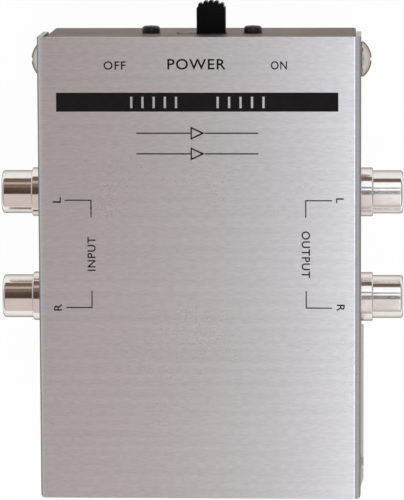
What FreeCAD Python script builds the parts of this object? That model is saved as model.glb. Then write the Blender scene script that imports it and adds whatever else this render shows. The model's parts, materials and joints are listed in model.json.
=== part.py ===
import FreeCAD, Part
import math
import os

# Phono preamp in a small sheet metal case, all sizes in millimetres.
# X runs across the case, +Y points to the switch end, +Z points up.
# The origin is on the surface that the feet stand on, under the middle of the case.

# Case
case_width = 61.0
case_length = 88.0
case_height = 30.0
sheet = 1.0
bend_radius = 1.25
rear_corner_radius = 0.7
chassis_corner_radius = 0.4
side_wall_depth = 17.7
side_wall_corner_radius = 3.0
flap_splay = 0.5
flap_hinge_drop = 0.3
cover_gap = 0.1
end_recess = 0.3
press_gap = 0.02

# Feet
foot_radius = 4.0
foot_height = 2.0
foot_edge_radius = 0.5
foot_inset_x = 8.0
foot_inset_y = 9.0

# Phono jacks
jack_drop = 15.0
jack_front_y = 13.1
jack_rear_y = -7.2
jack_notch_radius = 5.8
collar_radius = 4.7
collar_proud = 2.25
barrel_radius = 4.15
barrel_length = 5.85
barrel_nose_radius = 1.2
shank_radius = 3.0
shank_length = 8.0
jack_hole_gap = 0.1
insulator_radius = 2.8
insulator_recess = 0.4
insulator_neck_radius = 1.9
insulator_neck_proud = 0.6
insulator_mouth_radius = 1.75
insulator_lip = 0.5
contact_radius = 2.1
contact_bore_radius = 1.65
contact_bore_depth = 6.6
contact_floor = 0.8
insulator_floor = 0.6
contact_tail_radius = 0.8
contact_tail_proud = 2.0
jack_nut_flats = 8.0
jack_nut_thickness = 2.0
lug_thickness = 0.5
lug_radius = 4.4
lug_tab_width = 2.4
lug_tab_reach = 7.6

# Slide switch
switch_drop = 15.0
switch_travel = 3.6
knob_width = 5.5
knob_thickness = 4.0
knob_proud = 6.4
knob_dome_radius = 4.4
knob_rib_pitch = 1.03
knob_rib_radius = 0.4
knob_rib_count = 5
slot_end_gap = 0.2
slot_side_gap = 0.3
slider_width = 8.0
slider_lip = 0.5
slider_thickness = 1.6
slider_gap = 0.3
switch_wall = 1.0
switch_back_wall = 2.7
switch_frame_sheet = 0.6
switch_frame_length = 24.0
terminal_pitch = 3.6
terminal_row_pitch = 3.0
terminal_width = 1.0
terminal_thickness = 0.5
terminal_length = 3.5
terminal_head = 1.5
terminal_head_thickness = 0.3
wiper_thickness = 0.3
wiper_width = 1.2
switch_screw_pitch = 19.5

# Screws, nuts and studs
recess_reach = 1.1
recess_width = 0.27
recess_depth = 0.6
m2_radius = 1.0
m2_head_radius = 1.75
m2_head_height = 1.4
m2_length = 4.0
board_screw_radius = 1.25
board_screw_head_radius = 2.3
board_screw_head_height = 1.7
board_screw_length = 5.0
m3_radius = 1.5
m3_hole_gap = 0.15
cover_screw_inset = 5.1
cover_screw_drop = 12.2
cover_screw_head_radius = 3.35
cover_screw_head_edge = 0.4
cover_screw_head_height = 2.0
cover_screw_length = 5.5
clinch_nut_radius = 2.6
clinch_nut_thickness = 2.2
stud_radius = 1.25
stud_proud = 0.6
stud_nose_radius = 0.5
stud_hole_gap = 0.15
ground_screw_inset = 4.4
ground_screw_z = 9.0
ground_head_radius = 2.75
ground_head_height = 2.2
ground_head_edge_radius = 0.8
ground_screw_length = 6.0
ground_washer_radius = 3.2
ground_washer_thickness = 0.5
ground_nut_flats = 5.5
ground_nut_thickness = 2.4

# Circuit board
board_width = 48.0
board_rear_gap = 1.7
board_front_gap = 11.7
board_thickness = 1.6
standoff_height = 4.0
standoff_flats = 4.5
standoff_foot_radius = 1.9
front_hole_inset = 3.5
rear_hole_inset = 3.0
rear_hole_x = 12.0

# Parts on the board
chip_length = 9.6
chip_width = 6.4
chip_height = 3.3
socket_length = 10.2
socket_width = 7.8
socket_height = 4.0
leg_spacing = 2.54
leg_width = 0.5
leg_count = 4
electrolytic_radius = 3.15
electrolytic_height = 11.0
electrolytic_lift = 0.3
electrolytic_x = 6.0
electrolytic_front_inset = 6.4
film_width = 2.5
film_length = 7.2
film_height = 6.5
film_x = 8.5
lead_radius = 0.3
resistor_radius = 1.15
resistor_body = 6.3
resistor_lead_pitch = 9.0
resistor_lift = 0.3
side_resistor_inset = 5.1
side_resistor_gap = 0.35
side_resistor_pitch = 2.6
side_resistor_count = 3
middle_resistor_x = (7.2, 10.6)
row_gap_shares = (0.25, 0.25, 0.2)

# Nine volt battery, lying across the rear of the case
battery_body = 46.4
battery_width = 26.5
battery_depth = 17.5
battery_corner_radius = 2.0
battery_side_gap = 0.3
battery_post_pitch = 12.7
battery_post_radius = 2.9
battery_post_height = 2.1
snap_width = 21.6
snap_depth = 13.0
snap_thickness = 3.6
snap_corner_radius = 1.5
snap_socket_gap = 0.5
snap_seat_gap = 0.1
clip_sheet = 0.5
clip_width = 14.0
clip_arm = 12.0
clip_gap = 0.1
clip_wall_gap = 0.3

# Wires
wire_radius = 0.4
battery_lead_radius = 0.5
signal_wire_reach = 3.5
ground_wire_reach = 6.4
switch_wire_reach = (2.8, 4.5)
battery_lead_inset = 0.8
battery_lead_pitch = 2.4
bend_share = 0.45

# Derived places
top_z = foot_height + case_height
cover_x = case_width / 2
cover_y = case_length / 2
cover_low_z = top_z - side_wall_depth
chassis_x = cover_x - sheet - cover_gap
chassis_y = cover_y - end_recess
chassis_top_z = top_z - sheet - cover_gap
floor_z = foot_height + sheet
inner_x = chassis_x - sheet
inner_y = chassis_y - sheet
jack_z = top_z - jack_drop
switch_z = top_z - switch_drop
cover_screw_z = top_z - cover_screw_drop
cover_screw_y = cover_y - cover_screw_inset
ground_screw_x = inner_x - ground_screw_inset
board_z = floor_z + standoff_height
board_top_z = board_z + board_thickness
battery_rear_y = -inner_y + clip_wall_gap + clip_sheet + clip_gap
clip_front_y = battery_rear_y + battery_width + clip_gap + clip_sheet
board_rear_y = clip_front_y + board_rear_gap
board_front_y = inner_y - board_front_gap
front_hole_x = board_width / 2 - front_hole_inset
front_hole_y = board_front_y - front_hole_inset
rear_hole_y = board_rear_y + rear_hole_inset
side_resistor_x = board_width / 2 - side_resistor_inset
side_resistor_front_y = front_hole_y - board_screw_head_radius - side_resistor_gap - resistor_radius

# The rows of parts on the board, from the rear, share the room that is left between them
electrolytic_front_y = board_front_y - electrolytic_front_inset
resistor_row = resistor_lead_pitch + 2 * lead_radius
row_room = (electrolytic_front_y - electrolytic_radius - board_rear_y
            - 2 * electrolytic_radius - resistor_row - film_length)
electrolytic_rear_y = board_rear_y + row_gap_shares[0] * row_room + electrolytic_radius
chip_y = electrolytic_rear_y + electrolytic_radius + row_gap_shares[1] * row_room + resistor_row / 2
film_y = chip_y + resistor_row / 2 + row_gap_shares[2] * row_room + film_length / 2

jack_places = (
    ("input_left", -1, jack_front_y),
    ("input_right", -1, jack_rear_y),
    ("output_left", 1, jack_front_y),
    ("output_right", 1, jack_rear_y),
)
board_holes = [(side * x, y) for side in (-1, 1)
               for x, y in ((front_hole_x, front_hole_y), (rear_hole_x, rear_hole_y))]

x_axis = FreeCAD.Vector(1, 0, 0)
y_axis = FreeCAD.Vector(0, 1, 0)
z_axis = FreeCAD.Vector(0, 0, 1)
through = 4 * sheet


def point(x, y, z):
    return FreeCAD.Vector(x, y, z)


def box(x0, x1, y0, y1, z0, z1):
    return Part.makeBox(x1 - x0, y1 - y0, z1 - z0, point(x0, y0, z0))


def block(middle, size):
    half = size * 0.5
    low = middle - half
    return Part.makeBox(size.x, size.y, size.z, low)


def rod(radius, length, start, axis):
    return Part.makeCylinder(radius, length, start, axis)


def hexagon(flats, length, start, axis, across):
    # across is the direction that two of the flats face
    corner = flats / math.sqrt(3)
    side = axis.cross(across)
    corners = []
    for step in range(7):
        angle = math.radians(30 + 60 * step)
        corners.append(start + across * (corner * math.cos(angle)) + side * (corner * math.sin(angle)))
    return Part.Face(Part.makePolygon(corners)).extrude(axis * length)


def edges_along(shape, axis, keep=None):
    chosen = []
    for edge in shape.Edges:
        if len(edge.Vertexes) != 2:
            continue
        run = edge.Vertexes[1].Point - edge.Vertexes[0].Point
        if run.Length < 1e-6 or run.cross(axis).Length > 1e-6 * run.Length:
            continue
        if keep is None or keep(edge.CenterOfMass):
            chosen.append(edge)
    return chosen


def rounded(shape, radius, axis, keep=None):
    return shape.makeFillet(radius, edges_along(shape, axis, keep))


def rounded_rim(shape, radius, middle):
    # rounds the circular edge whose centre is at middle
    rims = []
    for edge in shape.Edges:
        if isinstance(edge.Curve, Part.Circle) and (edge.Curve.Center - middle).Length < 1e-6:
            rims.append(edge)
    return shape.makeFillet(radius, rims)


def cross_recess(middle, axis, side, head_radius, head_height):
    # two crossing slots cut down from middle against the axis
    reach = head_radius * recess_reach
    width = head_radius * recess_width
    depth = head_height * recess_depth
    other = axis.cross(side)
    arms = []
    for along, across in ((side, other), (other, side)):
        size = along * reach + across * width + axis * depth
        size = point(abs(size.x), abs(size.y), abs(size.z))
        arms.append(block(middle - axis * (depth / 2), size))
    return arms[0].fuse(arms[1])


def wire_tube(points, radius):
    # straight runs joined by tangent arcs, as large as the shorter run allows
    edges = []
    start = points[0]
    for before, corner, after in zip(points, points[1:], points[2:]):
        back = before - corner
        ahead = after - corner
        turn = math.pi - back.getAngle(ahead)
        cut = bend_share * min(back.Length, ahead.Length)
        bend = cut / math.tan(turn / 2)
        print("wire bend radius", round(bend, 2))
        back.normalize()
        ahead.normalize()
        first = corner + back * cut
        last = corner + ahead * cut
        inward = back + ahead
        inward.normalize()
        centre = corner + inward * math.hypot(cut, bend)
        middle = centre - inward * bend
        edges.append(Part.LineSegment(start, first).toShape())
        edges.append(Part.Arc(first, middle, last).toShape())
        start = last
    edges.append(Part.LineSegment(start, points[-1]).toShape())
    heading = points[1] - points[0]
    section = Part.Wire([Part.makeCircle(radius, points[0], heading)])
    return Part.Wire(edges).makePipeShell([section], True, False)


def save(name, shapes):
    # writes one node, one solid or a group of separate solids
    solids = []
    for shape in shapes:
        solids.extend(shape.Solids)
    for solid in solids:
        if not solid.isValid():
            print("invalid solid in", name)
    whole = solids[0] if len(solids) == 1 else Part.makeCompound(solids)
    whole.exportStep("parts/" + name + ".step")


# Top cover: a sheet bent down at both sides, open at both ends
def top_cover():
    outside = box(-cover_x, cover_x, -cover_y, cover_y, cover_low_z, top_z)
    outside = rounded(outside, bend_radius, y_axis, lambda at: at.z > top_z - 0.01)
    inside = box(-cover_x + sheet, cover_x - sheet, -cover_y - through, cover_y + through,
                 cover_low_z - through, top_z - sheet)
    inside = rounded(inside, bend_radius - sheet, y_axis, lambda at: at.z > top_z - sheet - 0.01)
    plan = box(-cover_x, cover_x, -cover_y, cover_y, cover_low_z, top_z)
    plan = rounded(plan, rear_corner_radius, z_axis, lambda at: at.y < 0)
    plan = rounded(plan, side_wall_corner_radius, x_axis,
                   lambda at: at.y > 0 and at.z < cover_low_z + 0.01)
    cover = outside.cut(inside).common(plan)

    # behind the rear jack each side wall leans a little outwards
    hinge_z = jack_z + jack_notch_radius - flap_hinge_drop
    flap_length = jack_rear_y + cover_y
    for side in (-1, 1):
        low_x = min(side * cover_x, side * (cover_x - sheet))
        cover = cover.cut(box(low_x, low_x + sheet, -cover_y, jack_rear_y, cover_low_z, hinge_z))
        section = Part.makePlane(sheet, flap_length, point(low_x, -cover_y, hinge_z)).common(plan)
        cover = cover.fuse(section.Faces[0].extrude(point(side * flap_splay, 0, cover_low_z - hinge_z)))
    cover = cover.removeSplitter()

    # openings for the jack collars, the screws and the rear studs
    for name, side, y in jack_places:
        start = point(side * (cover_x - 2 * sheet), y, jack_z)
        cover = cover.cut(rod(jack_notch_radius, through, start, x_axis * side))
        ends = sorted((start.x, start.x + side * through))
        cover = cover.cut(box(ends[0], ends[1], y - jack_notch_radius, y + jack_notch_radius,
                              cover_low_z - sheet, jack_z))
    for side in (-1, 1):
        start_x = side * (cover_x - 2 * sheet)
        cover = cover.cut(rod(m3_radius + m3_hole_gap, through,
                              point(start_x, cover_screw_y, cover_screw_z), x_axis * side))
        cover = cover.cut(rod(stud_radius + stud_hole_gap, through,
                              point(start_x, -cover_screw_y, cover_screw_z), x_axis * side))
    save("top_cover", [cover])


# Base chassis: a tray with a floor, two long sides and two end panels
def base_chassis():
    blank = box(-chassis_x, chassis_x, -chassis_y, chassis_y, foot_height, chassis_top_z)
    tray = rounded(blank, chassis_corner_radius, z_axis)
    for axis in (x_axis, y_axis):
        tray = tray.common(rounded(blank, bend_radius, axis, lambda at: at.z < foot_height + 0.01))
    hollow = box(-inner_x, inner_x, -inner_y, inner_y, floor_z, top_z)
    floor_edges = [edge for edge in hollow.Edges if edge.BoundBox.ZMax < floor_z + 0.01]
    tray = tray.cut(hollow.makeFillet(bend_radius - sheet, floor_edges))

    for name, side, y in jack_places:
        start = point(side * (inner_x - sheet), y, jack_z)
        tray = tray.cut(rod(shank_radius + jack_hole_gap, through, start, x_axis * side))
    for side in (-1, 1):
        start_x = side * (inner_x - sheet)
        tray = tray.cut(rod(m3_radius + m3_hole_gap, through,
                            point(start_x, cover_screw_y, cover_screw_z), x_axis * side))
        tray = tray.cut(rod(stud_radius + press_gap, through,
                            point(start_x, -cover_screw_y, cover_screw_z), x_axis * side))
    slot_x = knob_width / 2 + switch_travel / 2 + slot_end_gap
    slot_z = knob_thickness / 2 + slot_side_gap
    tray = tray.cut(box(-slot_x, slot_x, inner_y - sheet, chassis_y + sheet,
                        switch_z - slot_z, switch_z + slot_z))
    for side in (-1, 1):
        start = point(side * switch_screw_pitch / 2, inner_y - sheet, switch_z)
        tray = tray.cut(rod(m2_radius + jack_hole_gap, through, start, y_axis))
    start = point(ground_screw_x, -inner_y + sheet, ground_screw_z)
    tray = tray.cut(rod(m3_radius + m3_hole_gap, through, start, -y_axis))
    for x, y in board_holes:
        tray = tray.cut(rod(standoff_foot_radius + press_gap, through, point(x, y, floor_z + sheet), -z_axis))
    save("base_chassis", [tray])


# Four moulded feet, bonded under the corners of the chassis
def feet():
    corners = (("front_left", -1, 1), ("front_right", 1, 1), ("rear_left", -1, -1), ("rear_right", 1, -1))
    for name, side, end in corners:
        middle = point(side * (cover_x - foot_inset_x), end * (cover_y - foot_inset_y), 0)
        foot = rod(foot_radius, foot_height, middle, z_axis)
        save("foot_" + name, [rounded_rim(foot, foot_edge_radius, middle)])


# Cover screws with crossed recesses, and the nuts they turn into
def cover_fastening():
    screws = []
    nuts = []
    dome_height = cover_screw_head_height - cover_screw_head_edge
    dome_radius = (cover_screw_head_radius ** 2 + dome_height ** 2) / (2 * dome_height)
    for side in (-1, 1):
        out = x_axis * side
        seat = point(side * cover_x, cover_screw_y, cover_screw_z)
        head = rod(cover_screw_head_radius, cover_screw_head_height, seat, out)
        ball_centre = seat + out * (cover_screw_head_height - dome_radius)
        head = head.common(Part.makeSphere(dome_radius, ball_centre))
        shank = rod(m3_radius, cover_screw_length, seat, -out)
        top = seat + out * cover_screw_head_height
        recess = cross_recess(top, out, z_axis, cover_screw_head_radius, cover_screw_head_height)
        screws.append(head.fuse(shank).cut(recess))
        wall = point(side * inner_x, cover_screw_y, cover_screw_z)
        nut = rod(clinch_nut_radius, clinch_nut_thickness, wall, -out)
        nuts.append(nut.cut(rod(m3_radius + press_gap, clinch_nut_thickness, wall, -out)))
    save("cover_screws", screws)
    save("cover_screw_nuts", nuts)


# Studs in the chassis sides that locate the rear of the cover
def rear_studs():
    studs = []
    for side in (-1, 1):
        out = x_axis * side
        wall = point(side * inner_x, -cover_screw_y, cover_screw_z)
        reach = cover_x - inner_x + stud_proud
        pin = rod(stud_radius, reach, wall, out)
        studs.append(rounded_rim(pin, stud_nose_radius, wall + out * reach))
    save("rear_locating_studs", studs)


# One phono jack: metal shell, insulator and centre contact
def phono_jack(name, side, y):
    out = x_axis * side
    seat = point(side * chassis_x, y, jack_z)
    collar_length = cover_x - chassis_x + collar_proud
    tip = collar_length + barrel_length
    face = tip - insulator_recess
    contact_face = face - insulator_lip
    contact_back = contact_face - contact_bore_depth - contact_floor
    shoulder = contact_back - insulator_floor

    barrel = rod(barrel_radius, tip, seat, out)
    barrel = rounded_rim(barrel, barrel_nose_radius, seat + out * tip)
    shell = barrel.fuse(rod(collar_radius, collar_length, seat, out))
    shell = shell.fuse(rod(shank_radius, shank_length, seat, -out))
    shell = shell.cut(rod(insulator_radius + press_gap, tip, seat + out * shoulder, out))
    shell = shell.cut(rod(insulator_neck_radius + press_gap, shank_length + shoulder,
                          seat - out * shank_length, out))
    save(name + "_jack_shell", [shell])

    neck_length = shank_length + insulator_neck_proud
    insulator = rod(insulator_radius, face - shoulder, seat + out * shoulder, out)
    insulator = insulator.fuse(rod(insulator_neck_radius, neck_length + shoulder,
                                   seat - out * neck_length, out))
    insulator = insulator.cut(rod(insulator_mouth_radius, insulator_lip, seat + out * contact_face, out))
    insulator = insulator.cut(rod(contact_radius + press_gap, contact_face - contact_back,
                                  seat + out * contact_back, out))
    insulator = insulator.cut(rod(contact_tail_radius + press_gap, neck_length + contact_back,
                                  seat - out * neck_length, out))
    save(name + "_jack_insulator", [insulator])

    tail_length = neck_length + contact_tail_proud + contact_back
    contact = rod(contact_radius, contact_face - contact_back, seat + out * contact_back, out)
    contact = contact.fuse(rod(contact_tail_radius, tail_length, seat + out * contact_back, -out))
    contact = contact.cut(rod(contact_bore_radius, contact_bore_depth, seat + out * contact_face, -out))
    save(name + "_jack_contact", [contact])


# Nuts and ground lugs behind the chassis walls, and the wires from the jacks to the board
def jack_fastening():
    nuts = []
    lugs = []
    signal_wires = []
    ground_wires = []
    for name, side, y in jack_places:
        out = x_axis * side
        wall = point(side * inner_x, y, jack_z)
        toward = 1 if y < 0 else -1
        hole = rod(shank_radius + press_gap, through, wall, -out)
        ring = rod(lug_radius, lug_thickness, wall, -out)
        tab_middle = wall - out * (lug_thickness / 2) + y_axis * (toward * lug_tab_reach / 2)
        tab = block(tab_middle, point(lug_thickness, lug_tab_reach, lug_tab_width))
        lugs.append(ring.fuse(tab).cut(hole))
        nut_start = wall - out * lug_thickness
        nuts.append(hexagon(jack_nut_flats, jack_nut_thickness, nut_start, -out, z_axis).cut(hole))

        tail_x = chassis_x - shank_length - insulator_neck_proud - contact_tail_proud
        signal_x = tail_x - signal_wire_reach
        signal_wires.append(wire_tube([
            point(side * tail_x, y, jack_z),
            point(side * signal_x, y, jack_z),
            point(side * signal_x, y, board_top_z)], wire_radius))
        lug_x = inner_x - lug_thickness
        lug_y = y + toward * (lug_tab_reach - lug_tab_width / 2)
        ground_x = lug_x - ground_wire_reach
        ground_wires.append(wire_tube([
            point(side * lug_x, lug_y, jack_z),
            point(side * ground_x, lug_y, jack_z),
            point(side * ground_x, lug_y, board_top_z)], wire_radius))
    save("jack_nuts", nuts)
    save("jack_ground_lugs", lugs)
    save("signal_wires", signal_wires)
    save("ground_wires", ground_wires)


# Slide switch behind the end panel, with its slider at the right, which is ON
def slide_switch():
    slot_x = knob_width / 2 + switch_travel / 2 + slot_end_gap
    slot_z = knob_thickness / 2 + slot_side_gap
    slider_z = slot_z + slider_lip
    cavity_x = slider_width / 2 + switch_travel / 2 + slider_gap
    cavity_z = slider_z + slider_gap
    body_x = cavity_x + switch_wall
    body_z = cavity_z + switch_wall
    frame_z = body_z + press_gap + switch_frame_sheet
    frame_y = inner_y - switch_frame_sheet
    body_front_y = frame_y - press_gap
    slider_front_y = frame_y - slider_gap
    slider_back_y = slider_front_y - slider_thickness
    wiper_back_y = slider_back_y - wiper_thickness
    cavity_floor_y = wiper_back_y - slider_gap - terminal_head_thickness
    body_back_y = cavity_floor_y - switch_back_wall
    terminal_end_y = body_back_y - terminal_length
    knob_x = switch_travel / 2

    # frame: a plate with two tapped ears and two flanges that hold the body
    frame = box(-switch_frame_length / 2, switch_frame_length / 2, frame_y, inner_y,
                switch_z - frame_z, switch_z + frame_z)
    for side in (-1, 1):
        flange = sorted((switch_z + side * frame_z, switch_z + side * (frame_z - switch_frame_sheet)))
        frame = frame.fuse(box(-body_x, body_x, body_back_y, frame_y, flange[0], flange[1]))
    frame = frame.cut(box(-slot_x, slot_x, frame_y - sheet, inner_y + sheet,
                          switch_z - slot_z, switch_z + slot_z))
    screws = []
    for side in (-1, 1):
        ear = point(side * switch_screw_pitch / 2, frame_y, switch_z)
        frame = frame.cut(rod(m2_radius + press_gap, switch_frame_sheet, ear, y_axis))
        seat = point(ear.x, chassis_y, switch_z)
        head = rod(m2_head_radius, m2_head_height, seat, y_axis)
        top = seat + y_axis * m2_head_height
        head = rounded_rim(head, m2_head_height / 2, top)
        screw = head.fuse(rod(m2_radius, m2_length, seat, -y_axis))
        screws.append(screw.cut(cross_recess(top, y_axis, z_axis, m2_head_radius, m2_head_height)))
    save("switch_frame", [frame])
    save("switch_screws", screws)

    body = box(-body_x, body_x, body_back_y, body_front_y, switch_z - body_z, switch_z + body_z)
    body = body.cut(box(-cavity_x, cavity_x, cavity_floor_y, body_front_y + sheet,
                        switch_z - cavity_z, switch_z + cavity_z))
    terminals = []
    wires = []
    wipers = []
    for row, reach in zip((-1, 1), switch_wire_reach):
        z = switch_z + row * terminal_row_pitch / 2
        for place in (-1, 0, 1):
            x = place * terminal_pitch
            pin_middle = point(x, (cavity_floor_y + terminal_end_y) / 2, z)
            pin_size = point(terminal_width, cavity_floor_y - terminal_end_y, terminal_thickness)
            pin = block(pin_middle, pin_size)
            head_middle = point(x, cavity_floor_y + terminal_head_thickness / 2, z)
            head = block(head_middle, point(terminal_head, terminal_head_thickness, terminal_head))
            terminals.append(pin.fuse(head))
            hole_size = point(terminal_width + 2 * press_gap, switch_back_wall,
                              terminal_thickness + 2 * press_gap)
            body = body.cut(block(point(x, cavity_floor_y - switch_back_wall / 2, z), hole_size))
            if place >= 0:
                wires.append(wire_tube([
                    point(x, terminal_end_y, z),
                    point(x, terminal_end_y - reach, z),
                    point(x, terminal_end_y - reach, board_top_z)], wire_radius))
        wiper_size = point(terminal_pitch + wiper_width, wiper_thickness, wiper_width)
        wipers.append(block(point(knob_x, slider_back_y - wiper_thickness / 2, z), wiper_size))
    save("switch_body", [body])
    save("switch_terminals", terminals)
    save("switch_wires", wires)
    save("switch_wipers", wipers)

    # slider: a plate behind the slot with a ribbed, domed knob
    tip_y = chassis_y + knob_proud
    plate = box(knob_x - slider_width / 2, knob_x + slider_width / 2, slider_back_y, slider_front_y,
                switch_z - slider_z, switch_z + slider_z)
    half_width = knob_width / 2
    half_thickness = knob_thickness / 2
    ball_y = tip_y - knob_dome_radius
    crown_radius = knob_dome_radius - knob_rib_radius
    shoulder_y = ball_y + math.sqrt(crown_radius ** 2 - half_width ** 2)
    stem = box(knob_x - half_width, knob_x + half_width, slider_front_y, shoulder_y,
               switch_z - half_thickness, switch_z + half_thickness)
    crown = rod(crown_radius, knob_thickness, point(knob_x, ball_y, switch_z - half_thickness), z_axis)
    crown = crown.common(box(knob_x - half_width, knob_x + half_width, shoulder_y - sheet, tip_y,
                             switch_z - half_thickness, switch_z + half_thickness))
    knob = stem.fuse(crown)
    for step in range(knob_rib_count):
        across = (step - (knob_rib_count - 1) / 2) * knob_rib_pitch
        rib_y = ball_y + math.sqrt(crown_radius ** 2 - across ** 2)
        rib_start = point(knob_x + across, rib_y, switch_z - half_thickness)
        knob = knob.fuse(rod(knob_rib_radius, knob_thickness, rib_start, z_axis))
    save("switch_knob", [plate.fuse(knob).removeSplitter()])


# Ground terminal on the rear panel
def ground_terminal():
    panel = point(ground_screw_x, -chassis_y, ground_screw_z)
    washer = rod(ground_washer_radius, ground_washer_thickness, panel, -y_axis)
    washer = washer.cut(rod(m3_radius + press_gap, ground_washer_thickness, panel, -y_axis))
    seat = panel - y_axis * ground_washer_thickness
    top = seat - y_axis * ground_head_height
    head = rod(ground_head_radius, ground_head_height, seat, -y_axis)
    head = rounded_rim(head, ground_head_edge_radius, top)
    screw = head.fuse(rod(m3_radius, ground_screw_length, seat, y_axis))
    screw = screw.cut(cross_recess(top, -y_axis, z_axis, ground_head_radius, ground_head_height))
    inside = point(ground_screw_x, -inner_y, ground_screw_z)
    nut = hexagon(ground_nut_flats, ground_nut_thickness, inside, y_axis, x_axis)
    nut = nut.cut(rod(m3_radius + press_gap, ground_nut_thickness, inside, y_axis))
    save("ground_screw", [screw])
    save("ground_washer", [washer])
    save("ground_nut", [nut])


# Circuit board on four pressed-in standoffs
def circuit_board():
    board = box(-board_width / 2, board_width / 2, board_rear_y, board_front_y, board_z, board_top_z)
    standoffs = []
    screws = []
    for x, y in board_holes:
        board = board.cut(rod(board_screw_radius + m3_hole_gap, board_thickness,
                              point(x, y, board_z), z_axis))
        post = hexagon(standoff_flats, standoff_height, point(x, y, floor_z), z_axis, y_axis)
        post = post.fuse(rod(standoff_foot_radius, sheet, point(x, y, foot_height), z_axis))
        standoffs.append(post.cut(rod(board_screw_radius + press_gap, standoff_height + sheet,
                                      point(x, y, foot_height), z_axis)))
        seat = point(x, y, board_top_z)
        top = seat + z_axis * board_screw_head_height
        head = rod(board_screw_head_radius, board_screw_head_height, seat, z_axis)
        head = rounded_rim(head, board_screw_head_height / 2, top)
        screw = head.fuse(rod(board_screw_radius, board_screw_length, seat, -z_axis))
        recess = cross_recess(top, z_axis, x_axis, board_screw_head_radius, board_screw_head_height)
        screws.append(screw.cut(recess))
    save("circuit_board", [board])
    save("board_standoffs", standoffs)
    save("board_screws", screws)


# Amplifier chip in its socket
def amplifier_chip():
    socket = block(point(0, chip_y, board_top_z + socket_height / 2),
                   point(socket_width, socket_length, socket_height))
    base_z = board_top_z + socket_height + leg_width
    chip = block(point(0, chip_y, base_z + chip_height / 2), point(chip_width, chip_length, chip_height))
    notch = rod(leg_width, leg_width, point(0, chip_y + chip_length / 2, base_z + chip_height), -z_axis)
    legs = []
    leg_z = base_z + chip_height / 2
    for side in (-1, 1):
        for step in range(leg_count):
            y = chip_y + (step - (leg_count - 1) / 2) * leg_spacing
            inner = side * chip_width / 2
            outer = side * socket_width / 2
            across = sorted((inner, outer))
            foot = sorted((outer, outer - side * leg_width))
            leg = box(across[0], across[1], y - leg_width, y + leg_width, leg_z, leg_z + leg_width / 2)
            down = box(foot[0], foot[1], y - leg_width / 2, y + leg_width / 2,
                       board_top_z + socket_height, leg_z)
            legs.append(leg.fuse(down))
    save("chip_socket", [socket])
    save("amplifier_chip", [chip.cut(notch)])
    save("chip_legs", legs)


def bent_lead(body_end, drop_at):
    # a lead that leaves the body level and turns down to the board
    along = drop_at - body_end
    reach = along.Length
    along.normalize()
    level = rod(lead_radius, reach, body_end, along)
    ball = Part.makeSphere(lead_radius, drop_at)
    down = rod(lead_radius, drop_at.z - board_top_z, drop_at, -z_axis)
    return level.fuse(ball).fuse(down)


# Capacitors and resistors of the two channels
def board_components():
    cans = []
    films = []
    resistors = []
    for side in (-1, 1):
        for y in (electrolytic_front_y, electrolytic_rear_y):
            base = point(side * electrolytic_x, y, board_top_z + electrolytic_lift)
            can = rod(electrolytic_radius, electrolytic_height, base, z_axis)
            can = rounded_rim(can, lead_radius, base + z_axis * electrolytic_height)
            for end in (-1, 1):
                foot = base + y_axis * (end * leg_spacing / 2)
                can = can.fuse(rod(lead_radius, electrolytic_lift, foot, -z_axis))
            cans.append(can)
        base = point(side * film_x, film_y, board_top_z + electrolytic_lift)
        film = block(base + z_axis * (film_height / 2), point(film_width, film_length, film_height))
        film = rounded(film, lead_radius, z_axis)
        for end in (-1, 1):
            film = film.fuse(rod(lead_radius, electrolytic_lift, base + y_axis * (end * leg_spacing), -z_axis))
        films.append(film)
        level_z = board_top_z + resistor_lift + resistor_radius
        places = []
        for step in range(side_resistor_count):
            y = side_resistor_front_y - step * side_resistor_pitch
            places.append((point(side * side_resistor_x, y, level_z), x_axis))
        places += [(point(side * x, chip_y, level_z), y_axis) for x in middle_resistor_x]
        for middle, along in places:
            part = rod(resistor_radius, resistor_body, middle - along * (resistor_body / 2), along)
            for end in (-1, 1):
                body_end = middle + along * (end * resistor_body / 2)
                part = part.fuse(bent_lead(body_end, middle + along * (end * resistor_lead_pitch / 2)))
            resistors.append(part)
    save("electrolytic_capacitors", cans)
    save("film_capacitors", films)
    save("resistors", resistors)


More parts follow.
